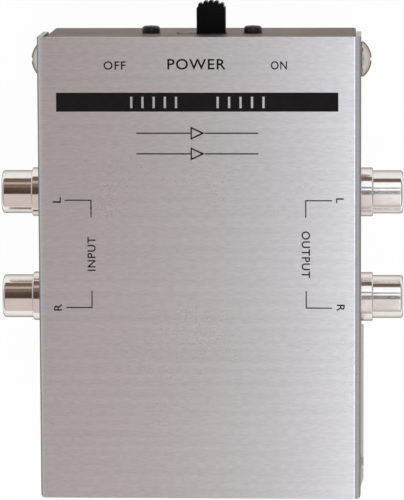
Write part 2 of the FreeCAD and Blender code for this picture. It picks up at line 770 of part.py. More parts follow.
# Battery with its snap connector, leads and spring clip
def battery():
    rear_y = battery_rear_y
    middle_y = rear_y + battery_width / 2
    left_x = -inner_x + battery_side_gap
    right_x = left_x + battery_body
    low_z = floor_z + clip_sheet
    middle_z = low_z + battery_depth / 2
    cell = box(left_x, right_x, rear_y, rear_y + battery_width, low_z, low_z + battery_depth)
    save("battery", [rounded(cell, battery_corner_radius, x_axis)])

    snap_left = right_x + snap_seat_gap
    snap = box(snap_left, snap_left + snap_thickness, middle_y - snap_width / 2, middle_y + snap_width / 2,
               middle_z - snap_depth / 2, middle_z + snap_depth / 2)
    snap = rounded(snap, snap_corner_radius, x_axis)
    posts = []
    for end in (-1, 1):
        seat = point(right_x, middle_y + end * battery_post_pitch / 2, middle_z)
        post = rod(battery_post_radius, battery_post_height, seat, x_axis)
        if end > 0:
            post = post.cut(rod(battery_post_radius / 2, battery_post_height, seat, x_axis))
        posts.append(post)
        snap = snap.cut(rod(battery_post_radius + snap_socket_gap, battery_post_height, seat, x_axis))
    save("battery_posts", posts)
    save("battery_snap_connector", [snap])

    leads = []
    lead_x = snap_left + snap_thickness - snap_corner_radius + battery_lead_radius / 2
    lead_y = middle_y + snap_width / 2
    for row in (-1, 1):
        z = middle_z + row * battery_lead_pitch / 2
        drop_y = board_rear_y + battery_lead_inset + (row + 1) * battery_lead_pitch / 2
        leads.append(wire_tube([
            point(lead_x, lead_y, z),
            point(lead_x, drop_y, z),
            point(lead_x, drop_y, board_top_z)], battery_lead_radius))
    save("battery_leads", leads)

    clip_y = (rear_y - clip_gap - clip_sheet, clip_front_y)
    clip_x = (left_x + right_x) / 2
    ends = (clip_x - clip_width / 2, clip_x + clip_width / 2)
    clip = box(ends[0], ends[1], clip_y[0], clip_y[1], floor_z, low_z)
    clip = clip.fuse(box(ends[0], ends[1], clip_y[0], clip_y[0] + clip_sheet, floor_z, low_z + clip_arm))
    clip = clip.fuse(box(ends[0], ends[1], clip_y[1] - clip_sheet, clip_y[1], floor_z, low_z + clip_arm))
    save("battery_clip", [clip.removeSplitter()])


def main():
    os.makedirs("parts", exist_ok=True)
    top_cover()
    base_chassis()
    feet()
    cover_fastening()
    rear_studs()
    for name, side, y in jack_places:
        phono_jack(name, side, y)
    jack_fastening()
    slide_switch()
    ground_terminal()
    circuit_board()
    amplifier_chip()
    board_components()
    battery()


main()
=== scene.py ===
import bpy
import bmesh
import json
from math import atan2, cos, hypot, pi, radians, sin, sqrt, tan
from mathutils import Matrix, Vector

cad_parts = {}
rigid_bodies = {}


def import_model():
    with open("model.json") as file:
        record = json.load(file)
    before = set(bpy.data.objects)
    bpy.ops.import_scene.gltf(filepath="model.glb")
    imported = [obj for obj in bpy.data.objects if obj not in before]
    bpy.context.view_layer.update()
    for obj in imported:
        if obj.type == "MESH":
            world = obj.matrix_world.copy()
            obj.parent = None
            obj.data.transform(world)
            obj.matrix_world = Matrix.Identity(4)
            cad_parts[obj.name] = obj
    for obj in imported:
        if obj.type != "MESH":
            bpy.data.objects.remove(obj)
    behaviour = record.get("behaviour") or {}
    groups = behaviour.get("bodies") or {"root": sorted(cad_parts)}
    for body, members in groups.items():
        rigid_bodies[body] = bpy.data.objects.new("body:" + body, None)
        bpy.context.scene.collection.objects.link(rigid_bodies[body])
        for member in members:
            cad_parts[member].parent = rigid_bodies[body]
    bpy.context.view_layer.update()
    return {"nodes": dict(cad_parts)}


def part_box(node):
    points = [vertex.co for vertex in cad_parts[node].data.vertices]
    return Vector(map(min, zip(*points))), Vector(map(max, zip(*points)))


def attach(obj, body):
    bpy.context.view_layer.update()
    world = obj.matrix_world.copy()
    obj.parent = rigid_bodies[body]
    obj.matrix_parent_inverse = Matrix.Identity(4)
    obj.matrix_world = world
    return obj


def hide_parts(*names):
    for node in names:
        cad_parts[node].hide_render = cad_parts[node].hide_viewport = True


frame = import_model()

# Phono preamp in a brushed sheet metal case. Sizes are written in millimetres, and become
# metres where a mesh is made. X runs across the case, +Y is the switch end, +Z is up.
mm = 0.001
scene = bpy.context.scene


def paint(red, green, blue):  # a colour as a screen shows it
    def linear(level):
        level = level / 255
        return level / 12.92 if level <= 0.04045 else ((level + 0.055) / 1.055) ** 2.4
    return (linear(red), linear(green), linear(blue), 1.0)


# Looks: a wire is one socket, and sums on wires add their Math nodes
class Wire:
    def __init__(self, look, socket):
        self.look = look
        self.socket = socket

    def sum(self, operation, first, second=0.0):
        return self.look.node("ShaderNodeMath", {"operation": operation}, {0: first, 1: second})

    def __add__(self, other):
        return self.sum("ADD", self, other)

    def __radd__(self, other):
        return self.sum("ADD", other, self)

    def __sub__(self, other):
        return self.sum("SUBTRACT", self, other)

    def __rsub__(self, other):
        return self.sum("SUBTRACT", other, self)

    def __mul__(self, other):
        return self.sum("MULTIPLY", self, other)

    def __rmul__(self, other):
        return self.sum("MULTIPLY", other, self)

    def __truediv__(self, other):
        return self.sum("DIVIDE", self, other)

    def __lt__(self, other):
        return self.sum("LESS_THAN", self, other)

    def __gt__(self, other):
        return self.sum("GREATER_THAN", self, other)

    def __abs__(self):
        return self.sum("ABSOLUTE", self)


class Look:
    def __init__(self, name, tree=None):
        if tree is None:
            self.material = bpy.data.materials.new(name)
            self.material.use_nodes = True
            tree = self.material.node_tree
        self.tree = tree

    def node(self, kind, settings=None, values=None, result=0):
        made = self.tree.nodes.new(kind)
        for name, value in (settings or {}).items():
            if name == "stops":
                ramp = made.color_ramp
                while len(ramp.elements) < len(value):
                    ramp.elements.new(1.0)
                for stop, (place, colour) in zip(ramp.elements, value):
                    stop.position = place
                    stop.color = colour
            else:
                setattr(made, name, value)
        for name, value in (values or {}).items():
            self.feed(made, name, value)
        return Wire(self, made.outputs[result])

    def feed(self, node, name, value):
        if isinstance(value, Wire):
            self.tree.links.new(value.socket, node.inputs[name])
        else:
            node.inputs[name].default_value = value

    def surface(self, values):
        for name, value in values.items():
            self.feed(self.tree.nodes["Principled BSDF"], name, value)
        return self.material

    def place(self):
        return self.node("ShaderNodeTexCoord", result=3)

    def split(self, vector):
        parts = self.node("ShaderNodeSeparateXYZ", values={0: vector}).socket.node.outputs
        return [Wire(self, part) for part in parts]

    def grain(self, scale, detail=2.0, roughness=0.5):  # noise, with its scale per metre along each axis
        at = self.node("ShaderNodeMapping", values={"Vector": self.place(), "Scale": scale})
        return self.node("ShaderNodeTexNoise", values={"Vector": at, "Scale": 1.0, "Detail": detail,
                                                       "Roughness": roughness})

    def fade(self, value, low, high, start=0.0, end=1.0):
        return self.node("ShaderNodeMapRange", {"interpolation_type": "SMOOTHSTEP"},
                         {"Value": value, "From Min": low, "From Max": high, "To Min": start, "To Max": end})

    def tint(self, amount, first, second):
        return self.node("ShaderNodeMix", {"data_type": "RGBA"}, {0: amount, 6: first, 7: second}, 2)

    def relief(self, height, depth, strength=1.0):
        return self.node("ShaderNodeBump", values={"Strength": strength, "Distance": depth, "Height": height})


def metal(name, colour, worn, roughness, depth=0.00002, scale=900.0, cloud=70.0, rim=(1, 1, 1, 1)):
    look = Look(name)  # rim is the tint of the metal where it is seen at a low angle
    fine = look.grain((scale, scale, scale), 3.0)
    broad = look.grain((cloud, cloud, cloud), 4.0, 0.6)
    return look.surface({
        "Base Color": look.tint(look.fade(broad, 0.35, 0.7), colour, worn),
        "Metallic": 1.0,
        "Specular Tint": rim,
        "Roughness": roughness + 0.12 * (broad - 0.5) + 0.05 * (fine - 0.5),
        "Normal": look.relief(fine, depth)})


def plastic(name, colour, other, roughness, depth=0.00003, scale=2500.0, coat=0.0):
    look = Look(name)
    fine = look.grain((scale, scale, scale), 2.0)
    broad = look.grain((120.0, 120.0, 120.0), 3.0)
    return look.surface({
        "Base Color": look.tint(look.fade(broad, 0.3, 0.75), colour, other),
        "Roughness": roughness + 0.08 * (broad - 0.5) + 0.1 * (fine - 0.5),
        "Coat Weight": coat,
        "Normal": look.relief(fine, depth)})


def brushedCover():
    values = {"colour": (0.905, 0.91, 0.925, 1), "deep": (0.81, 0.815, 0.83, 1), "roughness": 0.28,
              "spread": 1.0, "streakPitch": 0.00038,
              "rim": (0.42, 0.40, 0.39, 1), "bendShadeTone": 0.34}
    look = Look("brushed_aluminium")
    x, y, z = look.split(look.place())
    wrap = x + z  # streaks run across the top and on down both sides
    along = look.node("ShaderNodeCombineXYZ", values={0: wrap * 700.0, 1: y / values["streakPitch"], 2: 0.0})
    streaks = look.node("ShaderNodeTexNoise", values={"Vector": along, "Scale": 1.0, "Detail": 1.0,
                                                      "Roughness": 0.5})
    wide = look.node("ShaderNodeCombineXYZ", values={0: wrap * 20.0, 1: y * 900.0, 2: 3.0})
    bands = look.node("ShaderNodeTexNoise", values={"Vector": wide, "Scale": 1.0, "Detail": 2.0})
    handled = look.grain((38.0, 38.0, 38.0), 4.0, 0.6)
    tone = 0.6 * streaks + 0.4 * bands
    bendShade = look.fade(z, 0.0300, 0.0309) * (1 - look.fade(z, 0.03155, 0.0318))  # painted shade: the bends get a darker colour that stands in for the dark reflections they show
    brushed = look.tint(look.fade(tone, 0.3, 0.72), values["deep"], values["colour"])
    # the painted shade on the bends is the deep colour scaled down by the tone set for it in the values above
    darkerTone = tuple(values["bendShadeTone"] * part for part in values["deep"][:3]) + (1,)
    return look.surface({
        "Base Color": look.tint(bendShade, brushed, darkerTone),
        "Metallic": 1.0,
        "Roughness": values["roughness"] + 0.018 * (streaks - 0.5) + 0.03 * (handled - 0.5),
        "Specular Tint": values["rim"],
        "Anisotropic": values["spread"],
        "Tangent": look.node("ShaderNodeTangent", {"direction_type": "UV_MAP", "uv_map": "grain"})})


def chassisPlate():
    values = {"colour": (0.64, 0.58, 0.55, 1), "darkerTone": (0.54, 0.475, 0.44, 1), "roughness": 0.36,
              "rim": (0.16, 0.13, 0.12, 1)}
    look = Look("plated_chassis")
    x, y, z = look.split(look.place())
    rolled = look.grain((400.0, 2600.0, 2600.0), 3.0)
    broad = look.grain((90.0, 90.0, 90.0), 5.0, 0.6)
    edge = look.fade(z, 0.0295, 0.0309)
    return look.surface({
        "Base Color": look.tint(look.fade(broad + 0.15 * edge, 0.32, 0.72), values["darkerTone"], values["colour"]),
        "Metallic": 1.0,
        "Specular Tint": values["rim"],
        "Roughness": values["roughness"] + 0.15 * (broad - 0.5) + 0.06 * (rolled - 0.5),
        "Normal": look.relief(rolled, 0.000004)})


def knobPlastic():
    values = {"colour": (0.002, 0.002, 0.002, 1), "rubbed": (0.006, 0.0055, 0.0055, 1), "roughness": 0.42}
    look = Look("knob_plastic")
    x, y, z = look.split(look.place())
    fine = look.grain((5200.0, 5200.0, 5200.0), 2.0)
    broad = look.grain((600.0, 600.0, 600.0), 3.0)
    touched = look.fade(y, 0.0480, 0.0501)  # a thumb polishes the ribs first
    return look.surface({
        "Base Color": look.tint(0.75 * touched * broad, values["colour"], values["rubbed"]),
        "Specular IOR Level": 0.1,
        "Roughness": values["roughness"] + 0.2 * (fine - 0.5) - 0.12 * touched,
        "Normal": look.relief(fine, 0.000015)})


def printedInk():
    look = Look("printed_ink")
    fine = look.grain((9000.0, 9000.0, 9000.0), 2.0)
    broad = look.grain((900.0, 900.0, 900.0), 3.0)
    return look.surface({
        "Base Color": look.tint(look.fade(broad, 0.3, 0.8), paint(9, 8, 9), paint(16, 14, 15)),
        "Specular IOR Level": 0.22,
        "Roughness": 0.6 + 0.15 * (fine - 0.5),
        "Normal": look.relief(fine, 0.000003)})


def circuitLaminate():
    look = Look("circuit_laminate")
    x, y, z = look.split(look.place())
    at = look.node("ShaderNodeMapping", values={"Vector": look.place(), "Scale": (260.0, 260.0, 260.0)})
    tracks = look.node("ShaderNodeTexBrick", {"offset": 0.35, "squash": 1.6}, {
        "Vector": at, "Scale": 1.0, "Mortar Size": 0.09, "Mortar Smooth": 0.1,
        "Color1": (0, 0, 0, 1), "Color2": (0, 0, 0, 1), "Mortar": (1, 1, 1, 1)})
    weave = look.grain((2600.0, 2600.0, 2600.0), 2.0)
    mask = look.tint(tracks * 1.0, paint(28, 84, 44), paint(62, 128, 70))
    edge = look.fade(z, 0.00695, 0.00702) * look.fade(z, 0.00859, 0.00852)
    return look.surface({
        "Base Color": look.tint(0.85 * edge, mask, paint(186, 176, 122)),
        "Roughness": 0.35 + 0.25 * (weave - 0.5),
        "Normal": look.relief(tracks * 0.6 + weave * 0.2, 0.00004)})


def phenolicBoard():
    look = Look("phenolic_board")
    fibres = look.grain((700.0, 2600.0, 2600.0), 4.0, 0.7)
    broad = look.grain((300.0, 300.0, 300.0), 3.0)
    return look.surface({
        "Base Color": look.tint(look.fade(fibres * 0.6 + broad * 0.4, 0.35, 0.65),
                                paint(118, 70, 34), paint(160, 104, 58)),
        "Roughness": 0.5 + 0.2 * (fibres - 0.5),
        "Normal": look.relief(fibres, 0.00003)})


def canSleeve():
    low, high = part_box("electrolytic_capacitors")
    look = Look("capacitor_sleeve")
    x, y, z = look.split(look.place())
    fine = look.grain((1500.0, 1500.0, 1500.0), 2.0)
    stripe = look.fade(abs(x), abs(high.x) - 0.0007, abs(high.x) - 0.0005)
    top = look.fade(z, high.z - 0.00035, high.z - 0.0002)
    sleeve = look.tint(stripe, paint(32, 42, 84), paint(176, 182, 192))
    return look.surface({
        "Base Color": look.tint(top, sleeve, paint(202, 202, 204)),
        "Metallic": top,
        "Roughness": 0.3 + 0.15 * (fine - 0.5),
        "Normal": look.relief(fine, 0.00002)})


def resistorPaint():
    low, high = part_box("resistors")
    sideRow = high.x - 0.0048
    look = Look("resistor_paint")
    x, y, z = look.split(look.place())
    chipLow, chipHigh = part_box("amplifier_chip")
    inSideRows = look.fade(abs(x), 0.0125, 0.0130)
    along = inSideRows * (abs(x) - sideRow) + (1 - inSideRows) * (y - (chipLow.y + chipHigh.y) / 2)
    body = 1 - look.fade(abs(along), 0.00315, 0.00318)
    colour = paint(150, 190, 205)
    for place, band in ((-0.0021, paint(150, 70, 30)), (-0.0010, paint(24, 22, 22)),
                        (0.0001, paint(210, 120, 30)), (0.0019, paint(150, 70, 30))):
        colour = look.tint(1 - look.fade(abs(along - place), 0.00022, 0.00030), colour, band)
    fine = look.grain((1800.0, 1800.0, 1800.0), 2.0)
    return look.surface({
        "Base Color": look.tint(body, paint(190, 188, 184), colour),
        "Metallic": 1 - body,
        "Roughness": 0.32 + 0.12 * (fine - 0.5),
        "Normal": look.relief(fine, 0.00002)})


def batteryWrap():
    low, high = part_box("battery")
    look = Look("battery_wrap")
    x, y, z = look.split(look.place())
    fine = look.grain((1200.0, 1200.0, 1200.0), 2.0)
    broad = look.grain((90.0, 90.0, 90.0), 3.0)
    middle, half = (low.x + high.x) / 2, (high.x - low.x) / 2
    pastBand = look.fade(x, high.x - 0.0022, high.x - 0.0020)
    band = look.fade(x, high.x - 0.0130, high.x - 0.0128) * (1 - pastBand)
    rim = look.fade(abs(x - middle), half - 0.0013, half - 0.0011)
    wrap = look.tint(band, look.tint(broad, paint(38, 40, 44), paint(50, 52, 58)), paint(176, 150, 92))
    return look.surface({
        "Base Color": look.tint(rim, wrap, paint(186, 186, 188)),
        "Metallic": rim,
        "Roughness": 0.34 + 0.2 * (fine - 0.5),
        "Normal": look.relief(fine, 0.00002)})


def wireSleeve(name, colour, shade):
    look = Look(name)
    x, y, z = look.split(look.place())
    fine = look.grain((2200.0, 2200.0, 2200.0), 2.0)
    bare = 1 - look.fade(z, 0.0093, 0.0095)  # the stripped end at the board
    return look.surface({
        "Base Color": look.tint(bare, look.tint(fine, colour, shade), paint(196, 194, 190)),
        "Metallic": bare,
        "Roughness": 0.42 + 0.15 * (fine - 0.5),
        "Normal": look.relief(fine, 0.00002)})


def twoLeads():
    low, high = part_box("battery_leads")
    look = Look("battery_lead_sleeve")
    x, y, z = look.split(look.place())
    fine = look.grain((2200.0, 2200.0, 2200.0), 2.0)
    upper = look.fade(z + y * 0.35, high.z - 0.0020 + low.y * 0.35, high.z - 0.0018 + low.y * 0.35)
    drop = look.fade(y, high.y - 0.0015, high.y - 0.0013)
    red = upper + drop > 0.5
    return look.surface({
        "Base Color": look.tint(red, paint(24, 22, 22), paint(170, 26, 20)),
        "Roughness": 0.42 + 0.15 * (fine - 0.5),
        "Normal": look.relief(fine, 0.00002)})


print("materials")
looks = {
    "cover": brushedCover(),
    "chassis": chassisPlate(),
    "ink": printedInk(),
    "knob": knobPlastic(),
    "nickel": metal("polished_nickel", (0.87, 0.84, 0.81, 1), (0.82, 0.79, 0.75, 1), 0.09, 0.0000015,
                    500.0, 160.0, (0.30, 0.25, 0.22, 1)),
    "screwNickel": metal("screw_nickel", (0.60, 0.56, 0.52, 1), (0.50, 0.46, 0.42, 1), 0.2, 0.000004,
                         rim=(0.16, 0.12, 0.10, 1)),
    "blackScrew": metal("black_oxide", (0.045, 0.043, 0.045, 1), (0.09, 0.082, 0.078, 1), 0.36, 0.000006),
    "zinc": metal("zinc_plate", (0.62, 0.62, 0.60, 1), (0.50, 0.50, 0.47, 1), 0.36, 0.00001, 1400.0, 220.0),
    "brass": metal("contact_brass", (0.76, 0.60, 0.33, 1), (0.62, 0.46, 0.24, 1), 0.22, 0.000003),
    "rubber": plastic("foot_rubber", (0.028, 0.028, 0.028, 1), (0.045, 0.044, 0.043, 1),
                      0.72, 0.00005, 1600.0),
    "white": plastic("white_insulator", (0.80, 0.79, 0.75, 1), (0.74, 0.72, 0.67, 1),
                     0.24, 0.000004, 900.0, 0.3),
    "red": plastic("red_insulator", (0.56, 0.025, 0.02, 1), (0.46, 0.02, 0.018, 1),
                   0.24, 0.000004, 900.0, 0.3),
    "chip": plastic("chip_plastic", (0.022, 0.022, 0.023, 1), (0.035, 0.034, 0.034, 1), 0.5, 0.00003, 3000.0),
    "socket": plastic("socket_plastic", (0.03, 0.03, 0.032, 1), (0.05, 0.05, 0.05, 1), 0.42, 0.00002, 2600.0),
    "film": plastic("film_resin", (0.50, 0.10, 0.035, 1), (0.40, 0.07, 0.028, 1), 0.3, 0.00006, 500.0, 0.2),
    "vinyl": plastic("snap_vinyl", (0.02, 0.02, 0.02, 1), (0.034, 0.033, 0.033, 1), 0.6, 0.00004, 1200.0),
    "laminate": circuitLaminate(),
    "phenolic": phenolicBoard(),
    "can": canSleeve(),
    "resistor": resistorPaint(),
    "battery": batteryWrap(),
    "signalWire": wireSleeve("signal_wire_sleeve", paint(196, 190, 178), paint(176, 168, 154)),
    "groundWire": wireSleeve("ground_wire_sleeve", paint(28, 26, 26), paint(40, 37, 36)),
    "switchWire": wireSleeve("switch_wire_sleeve", paint(168, 26, 22), paint(146, 22, 20)),
    "batteryLead": twoLeads(),
}


# Mesh helpers. Points are millimetres, and outlines run round once without their first point again.
def softened(corners, radius=0.0, steps=3, closed=True):
    points = []
    for index, corner in enumerate(corners):
        here = Vector(corner[:2])
        size = corner[2] if len(corner) > 2 else radius
        back = Vector(corners[index - 1][:2]) - here
        ahead = Vector(corners[(index + 1) % len(corners)][:2]) - here
        atEnd = not closed and index in (0, len(corners) - 1)
        turn = 0.0 if atEnd else pi - back.angle(ahead)
        if size <= 0 or turn < 0.02:
            points.append(tuple(here))
            continue
        cut = min(size * tan(turn / 2), 0.46 * min(back.length, ahead.length))
        size = cut / tan(turn / 2)
        back.normalize()
        ahead.normalize()
        centre = here + (back + ahead).normalized() * hypot(cut, size)
        first, last = here + back * cut - centre, here + ahead * cut - centre
        start = atan2(first.y, first.x)
        sweep = (atan2(last.y, last.x) - start + pi) % (2 * pi) - pi
        for step in range(steps + 1):
            angle = start + sweep * step / steps
            points.append((centre.x + size * cos(angle), centre.y + size * sin(angle)))
    return points


def ringOf(centreU, centreV, radius, steps=48):
    return [(centreU + radius * cos(2 * pi * step / steps), centreV + radius * sin(2 * pi * step / steps))
            for step in range(steps)]


def oblong(lowU, highU, lowV, highV, radius=0.0, steps=3):
    return softened([(lowU, lowV), (highU, lowV), (highU, highV), (lowU, highV)], radius, steps)


def pieceFrom(name, points, faces):
    mesh = bpy.data.meshes.new(name)
    mesh.from_pydata([Vector(point) * mm for point in points], [], faces)
    work = bmesh.new()
    work.from_mesh(mesh)
    bmesh.ops.remove_doubles(work, verts=work.verts, dist=1e-8)
    bmesh.ops.recalc_face_normals(work, faces=work.faces)
    work.to_mesh(mesh)
    work.free()
    piece = bpy.data.objects.new(name, mesh)
    scene.collection.objects.link(piece)
    return piece


def slabs(name, outlines, start, end, axis, taper=1.0):
    # outlines in the plane across an axis, each drawn out from start to end
    turnTo = {"x": lambda u, v, t: (t, u, v), "y": lambda u, v, t: (u, t, v),
              "z": lambda u, v, t: (u, v, t)}[axis]
    points, faces = [], []
    for outline in outlines:
        base, count = len(points), len(outline)
        midU = sum(u for u, v in outline) / count
        midV = sum(v for u, v in outline) / count
        points += [turnTo(u, v, start) for u, v in outline]
        points += [turnTo(midU + (u - midU) * taper, midV + (v - midV) * taper, end) for u, v in outline]
        faces.append(list(range(base, base + count)))
        faces.append(list(range(base + count, base + 2 * count)))
        for step in range(count):
            following = (step + 1) % count
            faces.append([base + step, base + following, base + count + following, base + count + step])
    return pieceFrom(name, points, faces)


def turned(name, profile, place, steps=96):
    # a profile of (along, radius) points turned about its axis; place gives the point in space
    points, rings, faces = [], [], []
    for along, radius in profile:
        if radius < 1e-6:
            rings.append([len(points)] * steps)
            points.append(place(along, 0.0, 0.0))
        else:
            rings.append(list(range(len(points), len(points) + steps)))
            for step in range(steps):
                angle = 2 * pi * step / steps
                points.append(place(along, radius * cos(angle), radius * sin(angle)))
    closed = profile[0][1] > 1e-6
    for index in range(len(rings) if closed else len(rings) - 1):
        near, far = rings[index], rings[(index + 1) % len(rings)]
        for step in range(steps):
            following = (step + 1) % steps
            corners = [near[step], near[following], far[following], far[step]]
            faces.append(list(dict.fromkeys(corners)))
    return pieceFrom(name, points, [face for face in faces if len(face) > 2])


def threaded(start, end, radius, pitch=0.5, depth=0.22):
    points = []
    count = int(abs(end - start) / pitch)
    step = (end - start) / count
    for index in range(count):
        points.append((start + index * step, radius))
        points.append((start + (index + 0.5) * step, radius - depth))
    return points + [(end, radius)]


def settle(piece):
    # the modifiers are applied, and the piece is left with a plain mesh
    made = bpy.data.meshes.new_from_object(piece.evaluated_get(bpy.context.evaluated_depsgraph_get()))
    piece.modifiers.clear()
    piece.data = made
    return piece


def carve(piece, *tools, operation="DIFFERENCE"):
    for tool in tools:
        change = piece.modifiers.new("carve", "BOOLEAN")
        change.operation = operation
        change.solver = "EXACT"
        change.object = tool
    settle(piece)
    for tool in tools:
        bpy.data.objects.remove(tool)
    return piece


def finishEdges(piece, width, steps=2, angle=30.0):
    piece.data.polygons.foreach_set("use_smooth", [True] * len(piece.data.polygons))
    bevel = piece.modifiers.new("edges", "BEVEL")
    bevel.width = width * mm
    bevel.segments = steps
    bevel.limit_method = "ANGLE"
    bevel.angle_limit = radians(angle)
    bevel.use_clamp_overlap = True
    bevel.miter_outer = "MITER_ARC"
    settle(piece)
    return evenShade(piece, angle)


def evenShade(piece, angle=30.0):
    piece.data.polygons.foreach_set("use_smooth", [True] * len(piece.data.polygons))
    piece.data.set_sharp_from_angle(angle=radians(angle))
    even = piece.modifiers.new("shade", "WEIGHTED_NORMAL")
    even.keep_sharp = True
    return settle(piece)


def fit(piece, look, body, slot, *nodes):
    piece.data.materials.clear()
    piece.data.materials.append(looks[look])
    piece.data.polygons.foreach_set("material_index", [0] * len(piece.data.polygons))
    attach(piece, body)
    if nodes:
        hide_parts(*nodes)
    return piece


def joined(name, pieces):
    work = bmesh.new()
    for piece in pieces:
        work.from_mesh(piece.data)
    mesh = bpy.data.meshes.new(name)
    work.to_mesh(mesh)
    work.free()
    for piece in pieces:
        bpy.data.objects.remove(piece)
    made = bpy.data.objects.new(name, mesh)
    scene.collection.objects.link(made)
    return made


# Geometry Nodes: one small helper adds nodes to a tree in the way that Look does for a material
class Tree:
    def __init__(self, name, inputs):
        self.tree = bpy.data.node_groups.new(name, "GeometryNodeTree")
        self.ids = {}
        self.tree.interface.new_socket("Geometry", in_out="OUTPUT", socket_type="NodeSocketGeometry")
        self.tree.interface.new_socket("Geometry", in_out="INPUT", socket_type="NodeSocketGeometry")
        for label, kind in inputs.items():
            socket = self.tree.interface.new_socket(label, in_out="INPUT", socket_type="NodeSocket" + kind)
            self.ids[label] = socket.identifier
        self.start = self.tree.nodes.new("NodeGroupInput")
        self.end = self.tree.nodes.new("NodeGroupOutput")

    def input(self, label):
        return self.start.outputs[label]

    def node(self, kind, settings=None, values=None, result=0):
        made = self.tree.nodes.new(kind)
        for name, value in (settings or {}).items():
            setattr(made, name, value)
        for name, value in (values or {}).items():
            if isinstance(value, bpy.types.NodeSocket):
                self.tree.links.new(value, made.inputs[name])
            else:
                made.inputs[name].default_value = value
        return made.outputs[result]

    def close(self, geometry):
        real = self.node("GeometryNodeRealizeInstances", values={0: geometry})
        named = self.node("GeometryNodeSetMaterial",
                          values={"Geometry": real, "Material": self.input("Material")})
        self.tree.links.new(named, self.end.inputs[0])
        return self

    def apply(self, piece, values):
        change = piece.modifiers.new(self.tree.name, "NODES")
        change.node_group = self.tree
        for label, value in values.items():
            change[self.ids[label]] = value
        return settle(piece)


def copiesInLine():
    # copies of the piece in a row, each turned further about Z
    tree = Tree("copies_in_line", {"Count": "Int", "Start": "Vector", "Step": "Vector", "Turn": "Float",
                                   "Material": "Material"})
    line = tree.node("GeometryNodeMeshLine", {"mode": "OFFSET"}, {
        "Count": tree.input("Count"), "Start Location": tree.input("Start"), "Offset": tree.input("Step")})
    order = tree.node("GeometryNodeInputIndex")
    turn = tree.node("ShaderNodeMath", {"operation": "MULTIPLY"}, {0: order, 1: tree.input("Turn")})
    facing = tree.node("ShaderNodeCombineXYZ", values={2: turn})
    copies = tree.node("GeometryNodeInstanceOnPoints", values={
        "Points": line, "Instance": tree.input("Geometry"), "Rotation": facing})
    return tree.close(copies)


def copiesOnGrid():
    tree = Tree("copies_on_grid", {"Size X": "Float", "Size Y": "Float", "Count": "Int",
                                    "Material": "Material"})
    grid = tree.node("GeometryNodeMeshGrid", values={
        "Size X": tree.input("Size X"), "Size Y": tree.input("Size Y"),
        "Vertices X": tree.input("Count"), "Vertices Y": tree.input("Count")})
    copies = tree.node("GeometryNodeInstanceOnPoints",
                       values={"Points": grid, "Instance": tree.input("Geometry")})
    return tree.close(copies)


def ribsOnCrown():
    # upright ribs along the arc of a crown, added to the piece
    tree = Tree("ribs_on_crown", {"Count": "Int", "Pitch": "Float", "Crown Radius": "Float",
                                  "Crown Centre": "Vector", "Rib Radius": "Float", "Rib Length": "Float",
                                  "Material": "Material"})
    order = tree.node("GeometryNodeInputIndex")
    last = tree.node("ShaderNodeMath", {"operation": "SUBTRACT"}, {0: tree.input("Count"), 1: 1.0})
    middle = tree.node("ShaderNodeMath", {"operation": "MULTIPLY"}, {0: last, 1: 0.5})
    place = tree.node("ShaderNodeMath", {"operation": "SUBTRACT"}, {0: order, 1: middle})
    across = tree.node("ShaderNodeMath", {"operation": "MULTIPLY"}, {0: place, 1: tree.input("Pitch")})
    acrossSquare = tree.node("ShaderNodeMath", {"operation": "MULTIPLY"}, {0: across, 1: across})
    crown = tree.input("Crown Radius")
    crownSquare = tree.node("ShaderNodeMath", {"operation": "MULTIPLY"}, {0: crown, 1: crown})
    left = tree.node("ShaderNodeMath", {"operation": "SUBTRACT"}, {0: crownSquare, 1: acrossSquare})
    reach = tree.node("ShaderNodeMath", {"operation": "SQRT"}, {0: left})
    onArc = tree.node("ShaderNodeCombineXYZ", values={0: across, 1: reach})
    at = tree.node("ShaderNodeVectorMath", {"operation": "ADD"}, {0: onArc, 1: tree.input("Crown Centre")})
    line = tree.node("GeometryNodeMeshLine", {"mode": "OFFSET"}, {"Count": tree.input("Count")})
    placed = tree.node("GeometryNodeSetPosition", values={"Geometry": line, "Position": at})
    rib = tree.node("GeometryNodeMeshCylinder", values={
        "Vertices": 24, "Radius": tree.input("Rib Radius"), "Depth": tree.input("Rib Length")})
    copies = tree.node("GeometryNodeInstanceOnPoints", values={"Points": placed, "Instance": rib})
    both = tree.node("GeometryNodeJoinGeometry", values={0: copies})
    tree.tree.links.new(tree.input("Geometry"), both.node.inputs[0])
    return tree.close(both)


inLine = copiesInLine()
onGrid = copiesOnGrid()
onCrown = ribsOnCrown()


# Top cover: a sheet bent down at both sides, with open ends
cover = {"halfWidth": 30.5, "halfLength": 44.0, "top": 31.99, "low": 14.3, "sheet": 1.0, "bend": 1.25,
         "rearCorner": 0.7, "frontCorner": 3.0, "hingeZ": 22.5, "splay": 0.5, "notch": 5.8, "edge": 0.14}
jackRows = {"front": 13.1, "rear": -7.2}
jackZ, screwY, screwZ = 17.0, 38.9, 19.8


